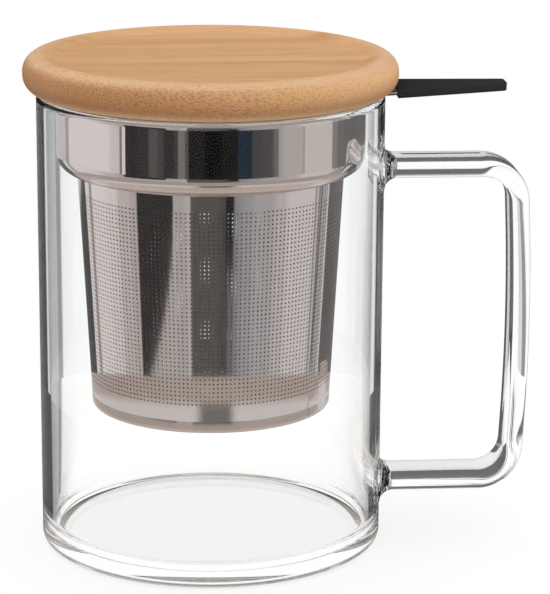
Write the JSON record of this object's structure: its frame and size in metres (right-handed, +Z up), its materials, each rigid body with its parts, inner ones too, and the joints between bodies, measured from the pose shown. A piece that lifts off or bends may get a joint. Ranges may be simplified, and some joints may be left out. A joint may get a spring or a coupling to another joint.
{
  "type": "lidded tea mug with infuser",
  "caption": "Glass tea mug with a strap handle, a lift-out perforated steel infuser that hangs on the rim by its flange, and a lift-off bamboo lid with a silicone seal.",
  "frame": {"origin": "centre of the flat base, on the surface that the mug stands on", "axes": "+Z up along the axis of the glass, +X from the axis towards the handle and the lifting tab, +Y across"},
  "size_m": [0.1251, 0.0914, 0.1227],
  "materials": {
    "clear_glass": "clear blown borosilicate glass, fire-polished",
    "polished_steel": "polished stainless steel",
    "etched_steel": "polished stainless steel sheet with etched holes",
    "dark_silicone": "matt charcoal silicone",
    "bamboo": "sanded bamboo, lightly oiled",
    "clear_silicone": "translucent food-grade silicone"
  },
  "bodies": {
    "mug": {"glass_body": "clear_glass", "glass_handle": "clear_glass"},
    "infuser": {"infuser_collar": "polished_steel", "basket_wall": "etched_steel", "basket_cap": "etched_steel", "lift_tab": "polished_steel", "tab_sleeve": "dark_silicone"},
    "lid": {"bamboo_lid": "bamboo", "lid_seal": "clear_silicone"}
  },
  "joints": [
    {"name": "infuser_lift", "type": "slide", "parent": "mug", "child": "infuser", "axis": [0, 0, 1], "range_m": [0, 0.09]},
    {"name": "lid_lift", "type": "slide", "parent": "infuser", "child": "lid", "axis": [0, 0, 1], "range_m": [0, 0.03]}
  ]
}
